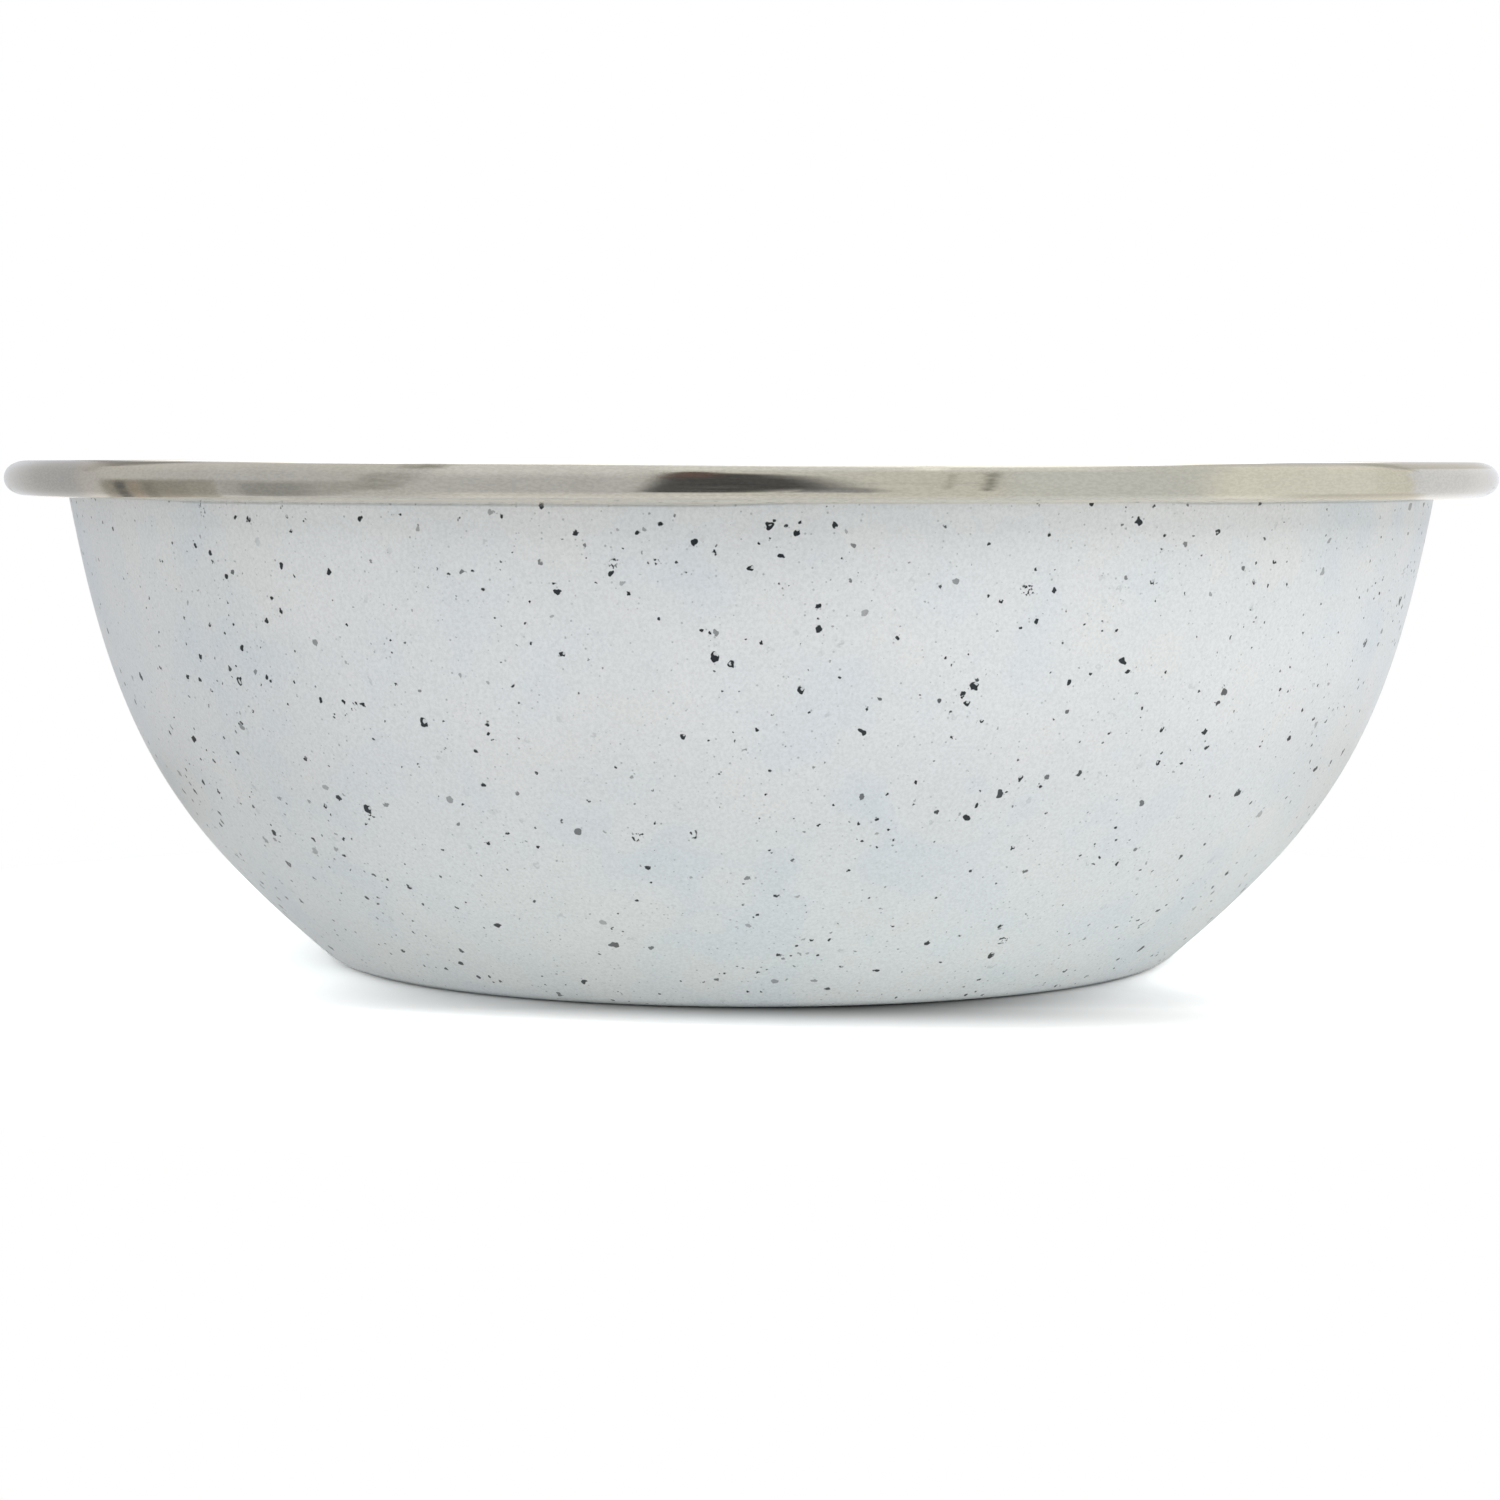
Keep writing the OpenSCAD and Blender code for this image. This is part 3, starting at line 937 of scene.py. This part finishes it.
def makeFloor():
    half = studio["floorHalf"]
    mesh = bpy.data.meshes.new("floor")
    level = -studio["floorDrop"]
    corners = [(-half, -half, level), (half, -half, level), (half, half, level), (-half, half, level)]
    mesh.from_pydata(corners, [], [(0, 1, 2, 3)])
    floor = newObject("floor", mesh)
    material, tree = emptyMaterial("white paper")
    place = tree.nodes.new("ShaderNodeTexCoord").outputs["Object"]
    path = tree.nodes.new("ShaderNodeLightPath").outputs
    # painted shadow: for the camera the paper is darkened by place round the middle of the bowl's shadow,
    # on top of its real shadow
    aside = vectorCalc(tree, "SUBTRACT", place, studio["shadowMiddle"])
    parts = addNode(tree, "ShaderNodeSeparateXYZ", {0: aside}).outputs
    ahead = calc(tree, "MINIMUM", calc(tree, "ADD", parts["Y"], studio["leanFrom"]), 0.0)
    lean = times(tree, ahead, studio["shadowLean"])
    across = calc(tree, "ADD", times(tree, parts["X"], studio["shadowStretch"]), lean)
    flat = addNode(tree, "ShaderNodeCombineXYZ", {"X": across, "Y": parts["Y"]}).outputs[0]
    aside = lengthOf(tree, flat)
    seenShare = ramp(tree, aside, 0.0, studio["shadowReach"], *studio["paperShares"])
    outer = ramp(tree, aside, *studio["outerReach"], 0.0, studio["outerShare"])
    seenShare = calc(tree, "ADD", seenShare, outer)
    extraSeen = times(tree, path["Is Camera Ray"], calc(tree, "SUBTRACT", seenShare, 1.0))
    mirrored = calc(tree, "MAXIMUM", path["Is Glossy Ray"], path["Is Transmission Ray"])
    extraMirrored = times(tree, mirrored, studio["paperMirrored"] - 1)
    share = calc(tree, "ADD", 1.0, calc(tree, "ADD", extraSeen, extraMirrored))
    paper = addNode(tree, "ShaderNodeBsdfDiffuse", {"Color": times(tree, share, studio["floorTone"])})
    white = addNode(tree, "ShaderNodeEmission", {"Color": colour(1.0, 1.0, 1.0), "Strength": 1.0})
    reach = lengthOf(tree, place)
    fade = times(tree, seenWhite(tree), ramp(tree, reach, studio["whiteFrom"], studio["whiteTo"]))
    whole = addNode(tree, "ShaderNodeMixShader", {0: fade, 1: paper.outputs[0], 2: white.outputs[0]})
    addNode(tree, "ShaderNodeOutputMaterial", {"Surface": whole.outputs[0]})
    mesh.materials.append(material)


def makeLamps():
    for name, (azimuth, elevation, distance, size, watts) in studio["lamps"].items():
        light = bpy.data.lights.new(name, "AREA")
        light.shape = "SQUARE"
        light.size = size
        light.energy = watts
        lamp = newObject(name, light)
        towards = direction(azimuth, elevation)
        lamp.location = studio["aim"] + distance * towards
        lamp.rotation_euler = towards.to_track_quat("Z", "Y").to_euler()
        lamp.visible_glossy = False


cardSheet = {
    "columnStep": 2.5,  # widest column inside the soft edges, in degrees of azimuth
    "rowStep": 3,  # highest row, in degrees of the nose's slope
    "leastColumns": 8,
    "edgeStations": 5,  # across each soft edge
    "reach": 0.64,  # distance of layer 0 from the band
    "layerStep": 0.02,  # by which each layer lies nearer
    "lift": 0.5 * mm,  # of layer 0 above the floor, and of each layer above the one before
    "patchRange": (0.4, 0.65),  # of the noise, over which a patchy card loses its share
}

# Cards that only reflections see, placed by what the band mirrors for the camera. A row is
# (slope of the band's nose, azimuth of the rim at the card's left and at its right). A card
# fades in over the degrees in soft: left, right, top, bottom. Higher layers lie nearer. A
# patchy card loses a share of its cover to noise of a given width and height in degrees.
cards = {
    "room": {
        "tone": (0.70, 0.695, 0.70), "layer": 0, "soft": (0.1, 0.1, 0.1, 0.1),
        "rows": [(92, -80, 80), (-76, -80, 80)],
    },
    "leftFar": {
        "tone": (0.555, 0.565, 0.60), "layer": 1, "soft": (0.1, 3, 0.1, 0.1),
        "rows": [(92, -80, -53.5), (40, -80, -54), (-76, -80, -53.5)],
    },
    "leftEnd": {
        "tone": (0.71, 0.735, 0.79), "layer": 2, "soft": (0.1, 14, 0.1, 0.1),
        "rows": [(92, -80, -60), (-76, -80, -60)],
    },
    "leftHigh": {
        "tone": (0.76, 0.755, 0.75), "layer": 1, "soft": (4, 3, 6, 16),
        "rows": [(72, -49, -21), (28, -49, -21)],
    },
    "frontRoom": {
        "tone": (0.83, 0.82, 0.765), "layer": 1, "soft": (5, 3, 6, 0.1),
        "rows": [(66, -9, 19), (-76, -9, 19)],
    },
    "rightNear": {
        "tone": (0.82, 0.835, 0.825), "layer": 2, "soft": (3, 3, 6, 0.1),
        "rows": [(66, 15, 35), (-76, 15, 35)],
    },
    "rightRoom": {
        "tone": (0.99, 0.98, 0.905), "layer": 3, "soft": (4, 0.2, 14, 0.1),
        "rows": [(72, 31, 54.2), (40, 31, 54.1), (28, 30, 52.6), (6, 30, 53.5), (-15, 30, 53.6),
                 (-76, 30, 54.1)],
    },
    "rightFar": {
        "tone": (0.93, 0.955, 1.02), "layer": 1, "soft": (1, 0.1, 0.1, 0.1),
        "rows": [(92, 50, 80), (-76, 50, 80)],
    },
    "rightEnd": {
        "tone": (0.89, 0.92, 0.995), "layer": 2, "soft": (8, 0.1, 0.1, 0.1),
        "rows": [(92, 66, 80), (-76, 66, 80)],
    },
    "rightShade": {
        "tone": (0.91, 0.895, 0.81), "layer": 4, "soft": (3, 0.2, 8, 0.1),
        "rows": [(58, 47, 53.8), (28, 47, 52.6), (6, 47, 53.5), (-76, 47, 54)],
    },
    "rightLow": {
        "tone": (0.72, 0.705, 0.65), "layer": 5, "soft": (6, 3, 9, 0.1),
        "rows": [(-40, 37, 57), (-76, 34, 57)],
    },
    "nearLow": {
        "tone": (0.88, 0.86, 0.83), "layer": 2, "soft": (6, 3, 8, 0.1),
        "rows": [(-30, -24, 2), (-76, -24, 2)],
    },
    "nearHigh": {
        "tone": (0.94, 0.935, 0.925), "layer": 3, "soft": (2.5, 2.5, 0.1, 34),
        "rows": [(66, -22.5, -5), (9, -22.5, -6)],
    },
    "frontHigh": {
        "tone": (1.0, 1.0, 0.975), "layer": 4, "soft": (3, 6, 0.1, 14),
        "rows": [(66, -8, 28), (35, -8, 28)],
    },
    "frontGlint": {
        "tone": (1.3, 1.29, 1.25), "layer": 5, "soft": (0.8, 0.8, 0.1, 6),
        "rows": [(66, 10.2, 13.2), (41, 10.2, 13.2)],
    },
    "backGlow": {
        "tone": (1.9, 1.9, 1.9), "layer": 5, "soft": (10, 4, 0.1, 10),
        "rows": [(92, -40, 41), (80, -40, 40), (75, -38, 36), (71, -34, 33), (69, -22, 32),
                 (67, -12, 31), (64, -4, 26), (60, 2, 22), (56, 9, 20)],
    },
    "leftTop": {
        "tone": (0.56, 0.55, 0.54), "layer": 2, "soft": (4, 3, 0.1, 14),
        "rows": [(92, -57, -49), (50, -57, -50.5), (26, -57, -52.5)],
    },
    "leftTopLine": {
        "tone": (0.30, 0.295, 0.29), "layer": 6, "soft": (4, 4, 0.1, 10),
        "rows": [(93, -57, -39), (80, -56, -39), (73, -55, -41), (66, -54.5, -44), (60, -54, -47),
                 (52, -54, -50)],
    },
    "rightTop": {
        "tone": (0.71, 0.705, 0.69), "layer": 5, "soft": (2, 12, 0.1, 5),
        "rows": [(92, 43, 80), (60, 49, 80), (46, 51, 80)],
    },
    "rightTopLine": {
        "tone": (0.52, 0.52, 0.48), "layer": 6, "soft": (3, 1.2, 8, 8),
        "rows": [(84, 43, 50), (74, 44.5, 52), (61, 48, 53.2), (49, 51.2, 53.8), (39, 52.8, 54.6),
                 (33, 53.2, 54.4)],
    },
    "leftWall": {
        "tone": (0.41, 0.39, 0.355), "layer": 3, "soft": (1.2, 0.4, 18, 0.1),
        "rows": [(12, -52.3, -38.5), (-76, -52.3, -38.5)],
    },
    "leftDoor": {
        "tone": (0.18, 0.18, 0.18), "layer": 4, "soft": (0.4, 0.4, 12, 0.1),
        "rows": [(6, -50.1, -48.3), (-76, -50.1, -48.3)],
    },
    "leftShelf": {
        "tone": (0.44, 0.385, 0.335), "layer": 4, "soft": (0.2, 0.4, 10, 0.1),
        "rows": [(4, -48.1, -46.7), (-76, -48.1, -46.7)],
    },
    "leftPost": {
        "tone": (0.32, 0.31, 0.28), "layer": 4, "soft": (0.4, 0.5, 10, 0.1),
        "rows": [(4, -46.6, -44.9), (-76, -46.6, -44.9)],
    },
    "leftPanel": {
        "tone": (0.47, 0.455, 0.415), "layer": 4, "soft": (1, 0.3, 10, 0.1),
        "rows": [(4, -42.2, -38.5), (-76, -42.2, -38.5)],
    },
    "leftCorner": {
        "tone": (0.555, 0.55, 0.54), "layer": 3, "soft": (0.3, 3, 16, 8),
        "rows": [(10, -38.5, -24), (-10, -38.5, -23), (-56, -38.5, -28)],
    },
    "leftCornerDark": {
        "tone": (0.425, 0.425, 0.415), "layer": 4, "soft": (1.2, 3, 14, 6),
        "rows": [(2, -37, -29), (-60, -37, -29)],
    },
    # painted reflection: cards that the band mirrors as darker patches at its left
    "leftMirroredPatch": {
        "tone": (0.465, 0.47, 0.455), "patchy": (0.7, 1.3, 9), "layer": 5, "soft": (1, 1.2, 12, 12),
        "rows": [(36, -25.4, -22.2), (20, -27, -21.8), (0, -27.4, -21.8), (-32, -27.2, -24)],
    },
    "leftMirroredPatchHigh": {
        "tone": (0.38, 0.38, 0.34), "patchy": (0.7, 1.3, 9), "layer": 6, "soft": (1.5, 1.8, 8, 10),
        "rows": [(76, -24.2, -19.2), (44, -24.2, -19.8)],
    },
    "faintSpot": {
        "tone": (0.55, 0.545, 0.49), "patchy": (0.5, 0.8, 8), "layer": 5, "soft": (0.5, 0.5, 8, 8),
        "rows": [(36, 12.6, 13.6), (-25, 12.1, 13.1)],
    },
    "smallSpot": {
        "tone": (0.27, 0.275, 0.235), "patchy": (0.5, 0.8, 8), "layer": 5, "soft": (0.9, 0.9, 10, 5),
        "rows": [(43, 14.9, 17.0), (10, 14.8, 16.4), (-27, 14.5, 16.2)],
    },
    "streakTail": {
        "tone": (0.325, 0.325, 0.335), "patchy": (0.3, 6, 2.2), "layer": 5, "soft": (0.5, 2.8, 10, 4),
        "rows": [(-9, 3, 8.6), (-17, 3, 9.2), (-23, 3, 9.9), (-28, 2.5, 9.9), (-33, 1, 9)],
    },
    "streak": {
        "tone": (0.071, 0.071, 0.075), "patchy": (0.12, 6, 2.2), "layer": 6, "soft": (2, 5.5, 5, 3),
        "rows": [(38, -5.4, -2.2), (33, -6.0, 0.8), (29, -6.4, 3.2), (25, -6.7, 5.1), (22, -6.8, 6.0),
                 (12, -7.1, 7.2), (3, -7.4, 7.7),
                 (-7, -7.5, 8.6), (-16, -7.8, 8.2), (-23, -8.1, 5.8), (-27, -8.1, 4.2),
                 (-33, -8.0, 3.0)],
    },
    "streakBrown": {
        "tone": (0.172, 0.118, 0.11), "layer": 7, "soft": (1.5, 2, 3, 8),
        "rows": [(39, -5.2, -2.0), (32, -5.8, -0.8), (22, -6.4, -1.2), (12, -6.8, -2.5)],
    },
}


# Point (i, j) of a card lies where the camera's ray goes after the nose at slope s_i and
# azimuth a_ij: a ray v leaves along v - 2 (v.n) n, and ends at the layer's reach or where it
# comes down to the layer's lift above the floor. The cover of the point is the product of
# smoothRise over the degrees from each edge.
def makeCard(name, size):
    given = np.array(size["rows"], dtype=float)
    softLeft, softRight, softTop, softBottom = size["soft"]
    top, bottom = given[0, 0], given[-1, 0]
    step = np.linspace(0, 1, cardSheet["edgeStations"])
    slope = np.concatenate([np.linspace(top, bottom, 2 + int((top - bottom) / cardSheet["rowStep"])),
                            top - softTop * step, bottom + softBottom * step])
    slope = -np.unique(-np.round(slope, 3))
    left = np.interp(-slope, -given[:, 0], given[:, 1])[:, None]
    right = np.interp(-slope, -given[:, 0], given[:, 2])[:, None]
    columnCount = cardSheet["leastColumns"] + int(np.max(right - left) / cardSheet["columnStep"])
    across = np.linspace(0, 1, columnCount)[1:-1]
    inner = left + softLeft + (right - left - softLeft - softRight) * across
    azimuth = np.concatenate([left + softLeft * step, inner, right - softRight * step[::-1]], axis=1)
    slope = slope[:, None] + 0 * azimuth
    cover = smoothRise(azimuth - left, 0, softLeft) * smoothRise(right - azimuth, 0, softRight)
    cover = cover * smoothRise(top - slope, 0, softTop) * smoothRise(slope - bottom, 0, softBottom)
    turn, tilt = np.radians(azimuth), np.radians(slope)[..., None]
    outward = np.stack([np.sin(turn), -np.cos(turn), 0 * turn], axis=-1)
    upward = np.array([0.0, 0.0, 1.0])
    normal = np.cos(tilt) * outward + np.sin(tilt) * upward
    noseRadius = noseArc(band)
    noseHeight = rimTop - band["noseHeight"] / 2
    spot = (rimRadius - noseRadius) * outward + noseRadius * normal + noseHeight * upward
    ray = spot - np.array(shot["place"])
    ray /= np.linalg.norm(ray, axis=-1, keepdims=True)
    leaving = ray - 2 * np.sum(ray * normal, axis=-1, keepdims=True) * normal
    reach = cardSheet["reach"] - cardSheet["layerStep"] * size["layer"]
    lift = cardSheet["lift"] * (1 + size["layer"])
    drop = (spot[..., 2] - lift) / np.maximum(-leaving[..., 2], tiny)
    points = spot + np.minimum(reach, drop)[..., None] * leaving
    rows, columns = azimuth.shape
    corner = np.arange(rows - 1)[:, None] * columns + np.arange(columns - 1)
    faces = np.stack([corner, corner + 1, corner + columns + 1, corner + columns], axis=-1)
    mesh = bpy.data.meshes.new(name)
    mesh.from_pydata(points.reshape(-1, 3).tolist(), [], faces.reshape(-1, 4).tolist())
    mesh.attributes.new("cover", "FLOAT", "POINT").data.foreach_set("value", cover.ravel())
    degrees = np.stack([azimuth, slope, 0 * slope], axis=-1)
    mesh.attributes.new("degrees", "FLOAT_VECTOR", "POINT").data.foreach_set("vector", degrees.ravel())
    card = newObject(name, mesh)
    material, tree = emptyMaterial(name)
    share = addNode(tree, "ShaderNodeAttribute", attribute_name="cover").outputs["Fac"]
    if "patchy" in size:
        lost, patchWidth, patchHeight = size["patchy"]
        spread = addNode(tree, "ShaderNodeAttribute", attribute_name="degrees").outputs["Vector"]
        spread = vectorCalc(tree, "MULTIPLY", spread, (1 / patchWidth, 1 / patchHeight, 0.0))
        cloud = noise(tree, spread, 1.0, detail=3.0, roughness=0.6)
        patches = ramp(tree, cloud, *cardSheet["patchRange"], 1.0, 1.0 - lost)
        share = times(tree, share, patches)
    glow = addNode(tree, "ShaderNodeEmission", {"Color": colour(*size["tone"]), "Strength": 1.0})
    clear = tree.nodes.new("ShaderNodeBsdfTransparent")
    whole = addNode(tree, "ShaderNodeMixShader", {0: share, 1: clear.outputs[0], 2: glow.outputs[0]})
    addNode(tree, "ShaderNodeOutputMaterial", {"Surface": whole.outputs[0]})
    mesh.materials.append(material)
    card.visible_camera = False
    card.visible_diffuse = False
    card.visible_shadow = False
    card.visible_transmission = False


makeCamera()
makeWorld()
makeFloor()
makeLamps()
for cardName, cardSize in cards.items():
    makeCard(cardName, cardSize)

scene.view_settings.view_transform = "Standard"
print("studio ready")
